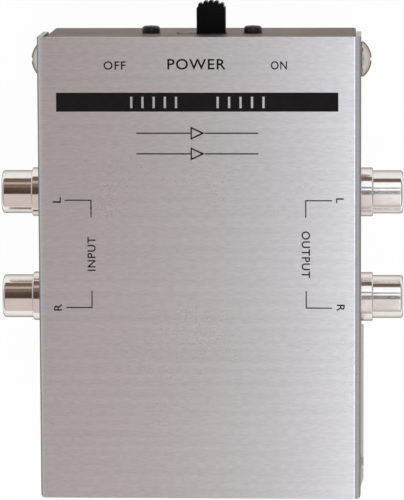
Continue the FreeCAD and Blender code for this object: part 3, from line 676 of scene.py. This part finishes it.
def coverSheet():
    wide, top, low, sheet = cover["halfWidth"], cover["top"], cover["low"], cover["sheet"]
    inner = wide - sheet
    section = softened([(-wide, low), (-wide, top, cover["bend"]), (wide, top, cover["bend"]), (wide, low),
                        (inner, low), (inner, top - sheet, cover["bend"] - sheet),
                        (-inner, top - sheet, cover["bend"] - sheet), (-inner, low)], steps=7)
    long = cover["halfLength"]
    piece = slabs("brushed_top_cover", [section], -long, long, "y")
    plan = softened([(-wide - 1, long + 1), (-wide - 1, 0), (-wide, -1), (-wide, -long, cover["rearCorner"]),
                     (wide, -long, cover["rearCorner"]), (wide, -1), (wide + 1, 0),
                     (wide + 1, long + 1)], steps=6)
    carve(piece, slabs("plan", [plan], low - 2, top + 2, "z"), operation="INTERSECT")
    side = softened([(-long - 1, low - 1), (0, low - 1), (0, low), (long, low, cover["frontCorner"]),
                     (long, top + 1), (-long - 1, top + 1)], steps=10)
    carve(piece, slabs("side", [side], -wide - 1, wide + 1, "x"), operation="INTERSECT")
    notch = cover["notch"]
    arches = []
    for y in jackRows.values():
        arch = [(y - notch, low - 3), (y + notch, low - 3)]
        for step in range(33):
            angle = pi * step / 32
            arch.append((y + notch * cos(angle), jackZ + notch * sin(angle)))
        arches.append(arch)
    holes = [ringOf(screwY, screwZ, 1.65), ringOf(-screwY, screwZ, 1.4)]
    carve(piece, slabs("notches", arches + holes, -wide - 3, wide + 3, "x"))

    # behind the rear jacks the side walls lean a little outwards, below a hinge line
    work = bmesh.new()
    work.from_mesh(piece.data)
    everything = work.verts[:] + work.edges[:] + work.faces[:]
    bmesh.ops.bisect_plane(work, geom=everything, dist=1e-7, plane_co=(0, 0, cover["hingeZ"] * mm),
                           plane_no=(0, 0, 1))
    for point in work.verts:
        if point.co.y < jackRows["rear"] * mm and point.co.z < (cover["hingeZ"] - 0.001) * mm:
            share = (cover["hingeZ"] * mm - point.co.z) / ((cover["hingeZ"] - low) * mm)
            point.co.x += cover["splay"] * mm * share * (1 if point.co.x > 0 else -1)
    for edge in work.edges:
        if all(abs(point.co.z - cover["hingeZ"] * mm) < 1e-7 for point in edge.verts):
            edge.smooth = False
    work.to_mesh(piece.data)
    work.free()
    finishEdges(piece, cover["edge"], 3)

    # the brushing runs across the sheet, so U is along the case and V runs round the bends
    grain = piece.data.uv_layers.new(name="grain")
    bend = cover["bend"]
    for face in piece.data.polygons:
        flat = abs(face.normal.y) > 0.7
        for corner in face.loop_indices:
            x, y, z = piece.data.vertices[piece.data.loops[corner].vertex_index].co / mm
            past, above = abs(x) - wide + bend, z - top + bend
            round_ = past if past <= 0 else bend * atan2(past, above) if above > 0 else bend * pi / 2 - above
            along = (wide - bend + round_) * (1 if x > 0 else -1)
            grain.data[corner].uv = (x / 100, z / 100) if flat else (y / 100, along / 100)
    return fit(piece, "cover", "case", "cover_aluminium", "top_cover")


print("top cover")
coverSheet()


# Base chassis: a tray folded up at four sides, with bent floor edges and closed upright corners
chassis = {"halfWidth": 29.4, "halfLength": 43.7, "low": 2.0, "top": 30.9, "sheet": 1.0, "bend": 1.25,
           "corner": 0.4, "edge": 0.09}


def chassisTray():
    wide, long, sheet, bend = (chassis[key] for key in ("halfWidth", "halfLength", "sheet", "bend"))
    levels = []
    for step in range(8):
        angle = pi / 2 * min(step, 6) / 6
        inset = bend * (1 - sin(angle))
        z = chassis["top"] if step == 7 else chassis["low"] + bend * (1 - cos(angle))
        outline = oblong(-wide + inset, wide - inset, -long + inset, long - inset,
                         max(chassis["corner"] - inset, 0.03), 5)
        levels.append([(x, y, z) for x, y in outline])
    count = len(levels[0])
    points = [point for ring in levels for point in ring]
    faces = [list(range(count)), list(range(len(points) - count, len(points)))]
    for ring in range(len(levels) - 1):
        for step in range(count):
            following = (step + 1) % count
            base = ring * count
            faces.append([base + step, base + following, base + count + following, base + count + step])
    piece = pieceFrom("plated_base_chassis", points, faces)
    hollow = oblong(-wide + sheet, wide - sheet, -long + sheet, long - sheet)
    carve(piece, slabs("hollow", [hollow], chassis["low"] + sheet, chassis["top"] + 1, "z"))
    across = [ringOf(y, jackZ, 3.1, 64) for y in jackRows.values()]
    across += [ringOf(screwY, screwZ, 1.65), ringOf(-screwY, screwZ, 1.27)]
    frontCuts = [oblong(-4.75, 4.75, 14.7, 19.3, 0.15), ringOf(-9.75, 17.0, 1.1, 32),
                 ringOf(9.75, 17.0, 1.1, 32)]
    floorHoles = [ringOf(side * x, y, 1.92, 40) for side in (-1, 1) for x, y in ((20.5, 27.5), (12.0, -10.0))]
    carve(piece, slabs("side_holes", across, -wide - 3, wide + 3, "x"),
          slabs("front_cuts", frontCuts, long - 2, long + 2, "y"),
          slabs("ground_hole", [ringOf(24.0, 9.0, 1.65)], -long - 2, -long + 2, "y"),
          slabs("floor_holes", floorHoles, 0.5, 3.6, "z"))
    finishEdges(piece, chassis["edge"])
    return fit(piece, "chassis", "case", "chassis_steel", "base_chassis")


print("base chassis")
chassisTray()


# Phono jacks: distances are along the jack, out from the chassis wall
jack = {"wall": 29.4, "collar": 4.7, "collarEnd": 3.35, "barrel": 4.15, "tip": 9.2, "nose": 1.2,
        "bore": 2.82, "seat": 0.3, "neckHole": 1.92, "shank": 3.0, "shankEnd": -8.0,
        "insulator": 2.8, "face": 8.8, "mouth": 1.75, "contactFace": 8.3, "cavity": 2.12, "cavityEnd": 0.9,
        "neck": 1.9, "neckEnd": -8.6, "tailHole": 0.82, "contact": 2.1, "contactBore": 1.65, "boreEnd": 1.7,
        "tail": 0.8, "tailEnd": -10.6, "slitWidth": 0.3, "slitEnd": 4.2, "steps": 96}


def phonoJack(name, side, y, look):
    def place(along, u, v):
        return (side * (jack["wall"] + along), y + u, jackZ + v)

    shell = softened([
        (jack["shankEnd"], jack["neckHole"], 0.1), (jack["shankEnd"], jack["shank"] - 0.25, 0.05)],
        closed=False)
    shell += threaded(jack["shankEnd"] + 0.3, -0.4, jack["shank"], 0.62, 0.24)
    shell += [(-0.2, jack["shank"] - 0.15), (0.0, jack["shank"] - 0.15)]
    shell += softened([
        (0.0, jack["shank"]), (0.0, jack["collar"], 0.12), (jack["collarEnd"], jack["collar"], 0.35),
        (jack["collarEnd"], jack["barrel"], 0.08), (jack["tip"], jack["barrel"], jack["nose"]),
        (jack["tip"], jack["bore"], 0.12), (jack["seat"], jack["bore"], 0.05),
        (jack["seat"], jack["neckHole"], 0.05), (0.0, jack["neckHole"])], steps=8, closed=False)
    piece = turned(name + "_nickel_shell", shell, place, jack["steps"])
    evenShade(piece, 38.0)
    fit(piece, "nickel", "case", "jack_nickel", name + "_jack_shell")

    body = softened([
        (jack["neckEnd"], jack["tailHole"], 0.05), (jack["neckEnd"], jack["neck"], 0.2),
        (jack["seat"], jack["neck"], 0.05), (jack["seat"], jack["insulator"], 0.15),
        (jack["face"], jack["insulator"], 0.3), (jack["face"], jack["mouth"] + 0.001, 0.22),
        (jack["contactFace"], jack["mouth"], 0.05), (jack["contactFace"], jack["cavity"], 0.03),
        (jack["cavityEnd"], jack["cavity"], 0.05), (jack["cavityEnd"], jack["tailHole"], 0.05)], steps=5)
    piece = turned(name + "_moulded_insulator", body, place, jack["steps"])
    evenShade(piece, 38.0)
    fit(piece, look, "case", look + "_insulator", name + "_jack_insulator")

    sleeve = softened([
        (jack["tailEnd"], 0.0), (jack["tailEnd"], jack["tail"], 0.2), (jack["cavityEnd"], jack["tail"], 0.05),
        (jack["cavityEnd"], jack["contact"], 0.15), (jack["contactFace"], jack["contact"], 0.12),
        (jack["contactFace"], jack["contactBore"], 0.15), (jack["boreEnd"], jack["contactBore"], 0.2),
        (jack["boreEnd"], 0.0)], steps=4, closed=False)
    piece = turned(name + "_contact_sleeve", sleeve, place, 64)
    half = jack["slitWidth"] / 2
    ends = sorted((side * (jack["wall"] + jack["slitEnd"]), side * (jack["wall"] + jack["contactFace"] + 1)))
    arms = [oblong(y - 3, y + 3, jackZ - half, jackZ + half)]
    arms.append(oblong(y - half, y + half, jackZ - 3, jackZ + 3))
    carve(piece, slabs("slit", arms[:1], ends[0], ends[1], "x"),
          slabs("slit", arms[1:], ends[0], ends[1], "x"))
    evenShade(piece, 38.0)
    fit(piece, "brass", "case", "contact_brass", name + "_jack_contact")


print("phono jacks")
phonoJack("input_left", -1, jackRows["front"], "white")
phonoJack("input_right", -1, jackRows["rear"], "red")
phonoJack("output_left", 1, jackRows["front"], "white")
phonoJack("output_right", 1, jackRows["rear"], "red")


# Switch knob: a plate behind the slot, a stem through it, and a ribbed crown
knob = {"x": 1.8, "z": 17.0, "halfWidth": 2.75, "halfThick": 2.0, "crown": 4.0, "crownY": 45.7,
        "plateHalfX": 4.0, "plateHalfZ": 2.8, "plateY": (40.2, 41.8), "ribs": 5, "ribPitch": 1.03,
        "ribRadius": 0.4, "edge": 0.14}


def slideKnob():
    x, half, crown = knob["x"], knob["halfWidth"], knob["crown"]
    outline = [(x - half, knob["plateY"][1] - 0.4), (x + half, knob["plateY"][1] - 0.4)]
    reach = atan2(half, sqrt(crown ** 2 - half ** 2))
    for step in range(25):
        angle = reach - 2 * reach * step / 24
        outline.append((x + crown * sin(angle), knob["crownY"] + crown * cos(angle)))
    z = (knob["z"] - knob["halfThick"], knob["z"] + knob["halfThick"])
    stem = slabs("stem", [outline], z[0], z[1], "z")
    onCrown.apply(stem, {"Count": knob["ribs"], "Pitch": knob["ribPitch"] * mm, "Crown Radius": crown * mm,
                         "Crown Centre": Vector((x, knob["crownY"], knob["z"])) * mm,
                         "Rib Radius": knob["ribRadius"] * mm, "Rib Length": 2 * knob["halfThick"] * mm,
                         "Material": looks["knob"]})
    finishEdges(stem, knob["edge"], 3)
    plate = slabs("plate", [oblong(x - knob["plateHalfX"], x + knob["plateHalfX"],
                                   knob["z"] - knob["plateHalfZ"], knob["z"] + knob["plateHalfZ"], 0.4)],
                  knob["plateY"][0], knob["plateY"][1], "y")
    finishEdges(plate, 0.15)
    piece = joined("ribbed_switch_knob", [stem, plate])
    evenShade(piece, 32.0)
    return fit(piece, "knob", "switch_slider", "knob_plastic", "switch_knob")


print("switch knob")
slideKnob()


# Screws, studs, washer and feet. Each is made once at the origin and then copied into place.
screws = {"coverHead": 3.35, "coverHeight": 2.0, "coverEdge": 0.4, "coverShank": 1.5, "coverLength": 5.5,
          "switchHead": 1.75, "switchHeight": 1.4, "switchShank": 1.0, "switchLength": 4.0,
          "groundHead": 2.75, "groundHeight": 2.2, "groundEdge": 0.8, "groundLength": 6.0,
          "recessReach": 1.1, "recessWidth": 0.27, "recessDepth": 0.6}


def recess(name, headRadius, headHeight, axis, out=1):
    reach = headRadius * screws["recessReach"] / 2
    half = headRadius * screws["recessWidth"] / 2
    cross = [(-reach, -half), (-half, -half), (-half, -reach), (half, -reach), (half, -half), (reach, -half),
             (reach, half), (half, half), (half, reach), (-half, reach), (-half, half), (-reach, half)]
    bottom = out * headHeight * (1 - screws["recessDepth"])
    return slabs(name, [cross], out * (headHeight + 0.5), bottom, axis, 0.6)


def coverScrews():
    head, height, edge = screws["coverHead"], screws["coverHeight"], screws["coverEdge"]
    dome = (head ** 2 + (height - edge) ** 2) / (2 * (height - edge))
    profile = [(-screws["coverLength"], 0.0), (-screws["coverLength"], screws["coverShank"] - 0.25)]
    profile += threaded(0.3 - screws["coverLength"], -0.2, screws["coverShank"])
    profile += [(0.0, screws["coverShank"]), (0.0, head - 0.12), (0.05, head - 0.03), (0.12, head)]
    for step in range(13):
        radius = head * cos(pi / 2 * step / 12)
        profile.append((height - dome + sqrt(dome ** 2 - radius ** 2), radius))
    piece = turned("domed_cover_screws", profile, lambda along, u, v: (along, u, v), 72)
    carve(piece, recess("recess", head, height, "x"))
    finishEdges(piece, 0.05, 2, 34.0)
    inLine.apply(piece, {"Count": 2, "Start": Vector((30.5, screwY, screwZ)) * mm,
                         "Step": Vector((-61.0, 0, 0)) * mm, "Turn": pi, "Material": looks["screwNickel"]})
    return fit(piece, "screwNickel", "case", "nickel_screw", "cover_screws")


def panScrew(name, head, height, edge, shank, length, axisSign):
    profile = [(-length, 0.0), (-length, shank - 0.2)] + threaded(0.3 - length, -0.15, shank, 0.4, 0.16)
    profile += [(0.0, shank), (0.0, head, 0.08), (height, head, edge), (height, 0.0)]
    shaped = softened(profile, 0.0, 8, closed=False)
    piece = turned(name, shaped, lambda along, u, v: (u, axisSign * along, v), 64)
    carve(piece, recess("recess", head, height, "y", axisSign))
    return finishEdges(piece, 0.04, 2, 34.0)


def switchScrews():
    piece = panScrew("black_switch_screws", screws["switchHead"], screws["switchHeight"], 0.7,
                     screws["switchShank"], screws["switchLength"], 1)
    inLine.apply(piece, {"Count": 2, "Start": Vector((-9.75, 43.7, 17.0)) * mm,
                         "Step": Vector((19.5, 0, 0)) * mm, "Turn": 0.0, "Material": looks["blackScrew"]})
    return fit(piece, "blackScrew", "case", "black_screw", "switch_screws")


def groundTerminal():
    piece = panScrew("ground_terminal_screw", screws["groundHead"],
                     screws["groundHeight"], screws["groundEdge"],
                     1.5, screws["groundLength"], -1)
    inLine.apply(piece, {"Count": 1, "Start": Vector((24.0, -44.2, 9.0)) * mm, "Step": Vector((0, 0, 0)),
                         "Turn": 0.0, "Material": looks["screwNickel"]})
    fit(piece, "screwNickel", "case", "nickel_screw", "ground_screw")
    ring = softened([(0.0, 1.52), (0.0, 3.2), (0.5, 3.2), (0.5, 1.52)], 0.12)
    washer = turned("ground_terminal_washer", ring,
                    lambda along, u, v: (24.0 + u, -43.7 - along, 9.0 + v), 64)
    evenShade(washer, 38.0)
    return fit(washer, "zinc", "case", "plated_steel", "ground_washer")


def rearStuds():
    profile = softened([(0.0, 0.0), (0.0, 1.25, 0.1), (2.7, 1.25, 0.5), (2.7, 0.0)], 0.0, 6, closed=False)
    piece = turned("round_nosed_studs", profile, lambda along, u, v: (along, u, v), 48)
    evenShade(piece, 38.0)
    inLine.apply(piece, {"Count": 2, "Start": Vector((28.4, -screwY, screwZ)) * mm,
                         "Step": Vector((-56.8, 0, 0)) * mm, "Turn": pi, "Material": looks["zinc"]})
    return fit(piece, "zinc", "case", "plated_steel", "rear_locating_studs")


def rubberFeet():
    profile = softened([(0.0, 0.0), (0.0, 4.0, 0.5), (2.0, 4.0, 0.06), (2.0, 0.0)], 0.0, 6, closed=False)
    piece = turned("rubber_feet", profile, lambda along, u, v: (u, v, along), 72)
    evenShade(piece, 38.0)
    onGrid.apply(piece, {"Size X": 45.0 * mm, "Size Y": 70.0 * mm, "Count": 2, "Material": looks["rubber"]})
    return fit(piece, "rubber", "case", "foot_rubber",
               "foot_front_left", "foot_front_right", "foot_rear_left", "foot_rear_right")


print("screws, studs and feet")
coverScrews()
switchScrews()
groundTerminal()
rearStuds()
rubberFeet()


# Printing on the cover: a thin film of ink, its top level with the highest point of the case
ink = {"low": 31.99, "high": 32.0}
legends = [  # words, centre x and y, length, height, turn in degrees
    ("OFF", -15.77, 38.68, 4.17, 1.58, 0), ("POWER", -0.37, 38.90, 10.94, 2.02, 0),
    ("ON", 15.11, 38.68, 3.04, 1.58, 0), ("INPUT", -20.40, 2.97, 6.51, 1.52, 90),
    ("OUTPUT", 20.13, 2.89, 8.87, 1.60, -90), ("L", -26.89, 13.22, 1.05, 1.52, 90),
    ("R", -26.85, -7.24, 1.31, 1.50, 90), ("L", 26.55, 13.14, 0.93, 1.45, -90),
    ("R", 26.71, -7.27, 1.29, 1.50, -90)]


def printedWords(name, words):
    made = []
    for text, x, y, length, height, turn in words:
        curve = bpy.data.curves.new(text, "FONT")
        curve.body = text
        curve.extrude = 0.5
        curve.offset = 0.012
        curve.space_character = 1.12
        curve.resolution_u = 6
        letters = bpy.data.objects.new(text, curve)
        scene.collection.objects.link(letters)
        mesh = bpy.data.meshes.new_from_object(
            letters.evaluated_get(bpy.context.evaluated_depsgraph_get()))
        bpy.data.objects.remove(letters)
        us = [point.co.x for point in mesh.vertices]
        vs = [point.co.y for point in mesh.vertices]
        middle = Vector(((min(us) + max(us)) / 2, (min(vs) + max(vs)) / 2))
        wide, tall = max(us) - min(us), max(vs) - min(vs)
        spin = Matrix.Rotation(radians(turn), 2)
        for point in mesh.vertices:
            flat = Vector(((point.co.x - middle.x) * length / wide, (point.co.y - middle.y) * height / tall))
            flat = spin @ flat
            z = ink["high"] if point.co.z > 0 else ink["low"]
            point.co = Vector((x + flat.x, y + flat.y, z)) * mm
        work = bmesh.new()
        work.from_mesh(mesh)
        bmesh.ops.remove_doubles(work, verts=work.verts, dist=1e-7)
        work.to_mesh(mesh)
        work.free()
        word = bpy.data.objects.new(text, mesh)
        scene.collection.objects.link(word)
        made.append(word)
    piece = joined(name, made)
    return fit(piece, "ink", "case", "cover_aluminium")


def printedBar():
    bar = {"x": -0.31, "y": 31.76, "width": 53.1, "height": 3.58, "tickY": 31.71, "tickHeight": 2.15,
           "tickWidth": 0.42, "ticks": 5, "groups": ((-8.46, 8.85), (7.89, 9.04))}
    outline = oblong(bar["x"] - bar["width"] / 2, bar["x"] + bar["width"] / 2,
                     bar["y"] - bar["height"] / 2, bar["y"] + bar["height"] / 2, 0.05, 2)
    piece = slabs("printed_bar", [outline], ink["low"], ink["high"], "z")
    gaps = []
    for middle, width in bar["groups"]:
        for step in range(bar["ticks"]):
            x = middle + (width - bar["tickWidth"]) * (step / (bar["ticks"] - 1) - 0.5)
            gaps.append(oblong(x - bar["tickWidth"] / 2, x + bar["tickWidth"] / 2,
                               bar["tickY"] - bar["tickHeight"] / 2, bar["tickY"] + bar["tickHeight"] / 2))
    carve(piece, slabs("ticks", gaps, 31, 33, "z"))
    return fit(piece, "ink", "case", "cover_aluminium")


def strokes(path, width):  # a mitred band along a path of straight runs
    half = width / 2
    left, right = [], []
    for index, (x, y) in enumerate(path):
        here = Vector((x, y))
        ways = []
        if index:
            ways.append((here - Vector(path[index - 1])).normalized())
        if index < len(path) - 1:
            ways.append((Vector(path[index + 1]) - here).normalized())
        across = sum((Vector((-way.y, way.x)) for way in ways), Vector((0, 0))).normalized()
        reach = half / across.dot(Vector((-ways[0].y, ways[0].x)))
        left.append(tuple(here + across * reach))
        right.append(tuple(here - across * reach))
    return left + right[::-1]


def channelBrackets():
    paths = [[(-25.42, 13.19), (-20.44, 13.19), (-20.44, 9.95)],
             [(-20.38, -4.07), (-20.38, -7.27), (-25.25, -7.27)],
             [(25.08, 13.13), (20.10, 13.13), (20.10, 9.90)],
             [(20.20, -4.07), (20.20, -7.29), (25.08, -7.29)]]
    piece = slabs("channel_brackets", [strokes(path, 0.22) for path in paths], ink["low"], ink["high"], "z")
    return fit(piece, "ink", "case", "cover_aluminium")


def amplifierSymbols():
    symbol = {"rows": (25.9, 22.0), "x": -0.3, "reach": 11.5, "half": 1.25, "line": 0.24}
    shapes = []
    for y in symbol["rows"]:
        x, half, line = symbol["x"], symbol["half"], symbol["line"]
        outer = [(x - half, y - half), (x + half * 1.15, y), (x - half, y + half)]
        shapes.append(strokes([(x - symbol["reach"], y), (x - half, y)], line))
        shapes.append(strokes([(x + half * 1.15, y), (x + symbol["reach"], y)], line))
        shapes.append(outer)
    piece = slabs("amplifier_symbols", shapes, ink["low"], ink["high"], "z")
    hollows = []
    for y in symbol["rows"]:
        x, half = symbol["x"], symbol["half"] - 0.42
        middle = x - symbol["half"] + 0.26
        hollows.append([(middle, y - half), (middle + half * 2.05, y), (middle, y + half)])
    carve(piece, slabs("hollows", hollows, 31, 33, "z"))
    return fit(piece, "ink", "case", "cover_aluminium")


print("printing")
printedWords("printed_legends", legends)
printedBar()
channelBrackets()
amplifierSymbols()


# Pieces inside, whose shapes are right as they come
print("inner pieces")
innerLooks = {
    "chip": ["amplifier_chip"], "socket": ["chip_socket"], "battery": ["battery"],
    "zinc": ["battery_clip", "board_screws", "board_standoffs", "battery_posts", "chip_legs",
             "cover_screw_nuts", "ground_nut", "jack_ground_lugs", "jack_nuts", "switch_frame"],
    "brass": ["switch_terminals", "switch_wipers"], "phenolic": ["switch_body"],
    "laminate": ["circuit_board"], "can": ["electrolytic_capacitors"], "film": ["film_capacitors"],
    "resistor": ["resistors"], "vinyl": ["battery_snap_connector"], "signalWire": ["signal_wires"],
    "groundWire": ["ground_wires"], "switchWire": ["switch_wires"], "batteryLead": ["battery_leads"]}
for look, names in innerLooks.items():
    for name in names:
        for place in frame["nodes"][name].material_slots:
            place.material = looks[look]


# Studio: white floor, plain soft light, and the camera of the photo
print("studio")
studio = {
    "floorHalf": 3.0, "backdropHeight": 0.4, "floorGlow": 0.97,  # metres, and how white the floor shows
    "room": (0.06, 0.035, 0.025, 1), "wings": (0.36, 0.33, 0.33, 1), "skyStrength": 1.28,
    "cardSoftness": 2.5, "rightStart": (-0.075, -0.005), "wingsStart": (0.14, 0.34),
    "boxColour": (0.88, 1.0, 1.1, 1), "boxStrength": 3.0, "boxRear": (-75, -60), "boxFront": (30, 50),
    "boxStart": (0.012, 0.05), "boxEnd": (0.05, 0.15),
    "lampPower": 13.0, "lampSize": 1.2, "lampPlace": (0.35, -0.5, 1.35)}
cards = [  # angles about X from straight up, negative to the rear, and the share at the left and right
    {"name": "rear card", "low": -100, "high": -7, "left": 1.0, "right": 0.9,
     "colour": (0.54, 0.47, 0.45, 1)},
    {"name": "front wall", "low": 26, "high": 100, "left": 1.0, "right": 1.0,
     "colour": (0.15, 0.10, 0.08, 1)},
    {"name": "left strip", "low": 46, "high": 58, "left": 1.0, "right": 0.0,
     "colour": (0.42, 0.35, 0.31, 1)},
    {"name": "right strip", "low": 14, "high": 22, "left": 0.0, "right": 1.0,
     "colour": (0.82, 0.80, 0.82, 1)},
    {"name": "right window", "low": 31, "high": 59, "left": 0.0, "right": 1.0,
     "colour": (0.90, 0.95, 1.00, 1)}]


def skyWorld():
    world = bpy.data.worlds.new("studio_sky")
    scene.world = world
    world.use_nodes = True
    sky = Look("sky", world.node_tree)
    back = world.node_tree.nodes["Background"]
    x, y, z = sky.split(sky.node("ShaderNodeTexCoord", result=0))
    turn = y.sum("ARCTAN2", y, z) * (180 / pi)
    rightward = sky.fade(x, *studio["rightStart"])
    colour = studio["room"]
    for card in cards:
        soft = studio["cardSoftness"]
        shown = sky.fade(turn, card["low"] - soft, card["low"] + soft)
        shown = shown * (1 - sky.fade(turn, card["high"] - soft, card["high"] + soft))
        share = card["left"] + (card["right"] - card["left"]) * rightward
        colour = sky.tint(shown * share, colour, card["colour"])
    sky.feed(back, "Color", sky.tint(sky.fade(abs(x), *studio["wingsStart"]), colour, studio["wings"]))
    box = sky.fade(turn, *studio["boxRear"]) * (1 - sky.fade(turn, *studio["boxFront"]))
    across = sky.fade(x, *studio["boxStart"]) * (1 - sky.fade(x, *studio["boxEnd"]))
    sky.feed(back, "Strength", studio["skyStrength"])
    lit = sky.node("ShaderNodeBackground", values={"Color": studio["boxColour"],
                                                   "Strength": studio["boxStrength"] * box * across})
    both = sky.node("ShaderNodeAddShader", values={0: Wire(sky, back.outputs[0]), 1: lit})
    sky.feed(world.node_tree.nodes["World Output"], "Surface", both)


def paleFloor():
    half = studio["floorHalf"] / mm
    corners = [(-half, -half), (half, -half), (half, half), (-half, half)]
    points = [(x, y, z) for z in (0, studio["backdropHeight"] / mm) for x, y in corners]
    walls = [[(side + 1) % 4, side, side + 4, (side + 1) % 4 + 4] for side in range(4)]
    floor = pieceFrom("floor", points, [[0, 1, 2, 3]] + walls)
    look = Look("pale_floor")
    path = look.node("ShaderNodeLightPath")
    rays = [Wire(look, path.socket.node.outputs[name])
            for name in ("Is Camera Ray", "Is Glossy Ray", "Is Transmission Ray")]
    shown = rays[0].sum("MAXIMUM", rays[0].sum("MAXIMUM", rays[0], rays[1]), rays[2])
    matt = look.surface({"Base Color": (0.86, 0.86, 0.86, 1), "Roughness": 0.9})
    glow = look.node("ShaderNodeEmission", values={"Color": (1, 1, 1, 1), "Strength": 1.0})
    shader = Wire(look, look.tree.nodes["Principled BSDF"].outputs[0])
    both = look.node("ShaderNodeMixShader", values={0: shown * studio["floorGlow"], 1: shader, 2: glow})
    look.feed(look.tree.nodes["Material Output"], "Surface", both)
    floor.data.materials.append(matt)


def softLamp():
    lamp = bpy.data.lights.new("soft_lamp", "AREA")
    lamp.shape = "SQUARE"
    lamp.size = studio["lampSize"]
    lamp.energy = studio["lampPower"]
    hung = bpy.data.objects.new("soft_lamp", lamp)
    hung.location = studio["lampPlace"]
    hung.rotation_euler = Vector(studio["lampPlace"]).to_track_quat("Z", "Y").to_euler()
    hung.visible_glossy = False
    scene.collection.objects.link(hung)


def photoCamera():
    view = {"place": (0.03277, 0.09487, 0.725), "target": (0.00052, 0.00375, 0.032), "lens": 266.75,
            "roll": -0.0044}
    lens = bpy.data.cameras.new("photo_camera")
    lens.lens = view["lens"]
    lens.sensor_width = 36.0
    lens.clip_start = 0.01
    camera = bpy.data.objects.new("photo_camera", lens)
    back = (Vector(view["place"]) - Vector(view["target"])).normalized()
    right = Vector((0, 1, 0)).cross(back).normalized()
    up = back.cross(right)
    turn = Matrix((right, up, back)).transposed().to_4x4()
    camera.matrix_world = Matrix.Translation(view["place"]) @ turn @ Matrix.Rotation(view["roll"], 4, "Z")
    scene.collection.objects.link(camera)
    scene.camera = camera


skyWorld()
paleFloor()
softLamp()
photoCamera()
scene.view_settings.view_transform = "Standard"

print("finished")
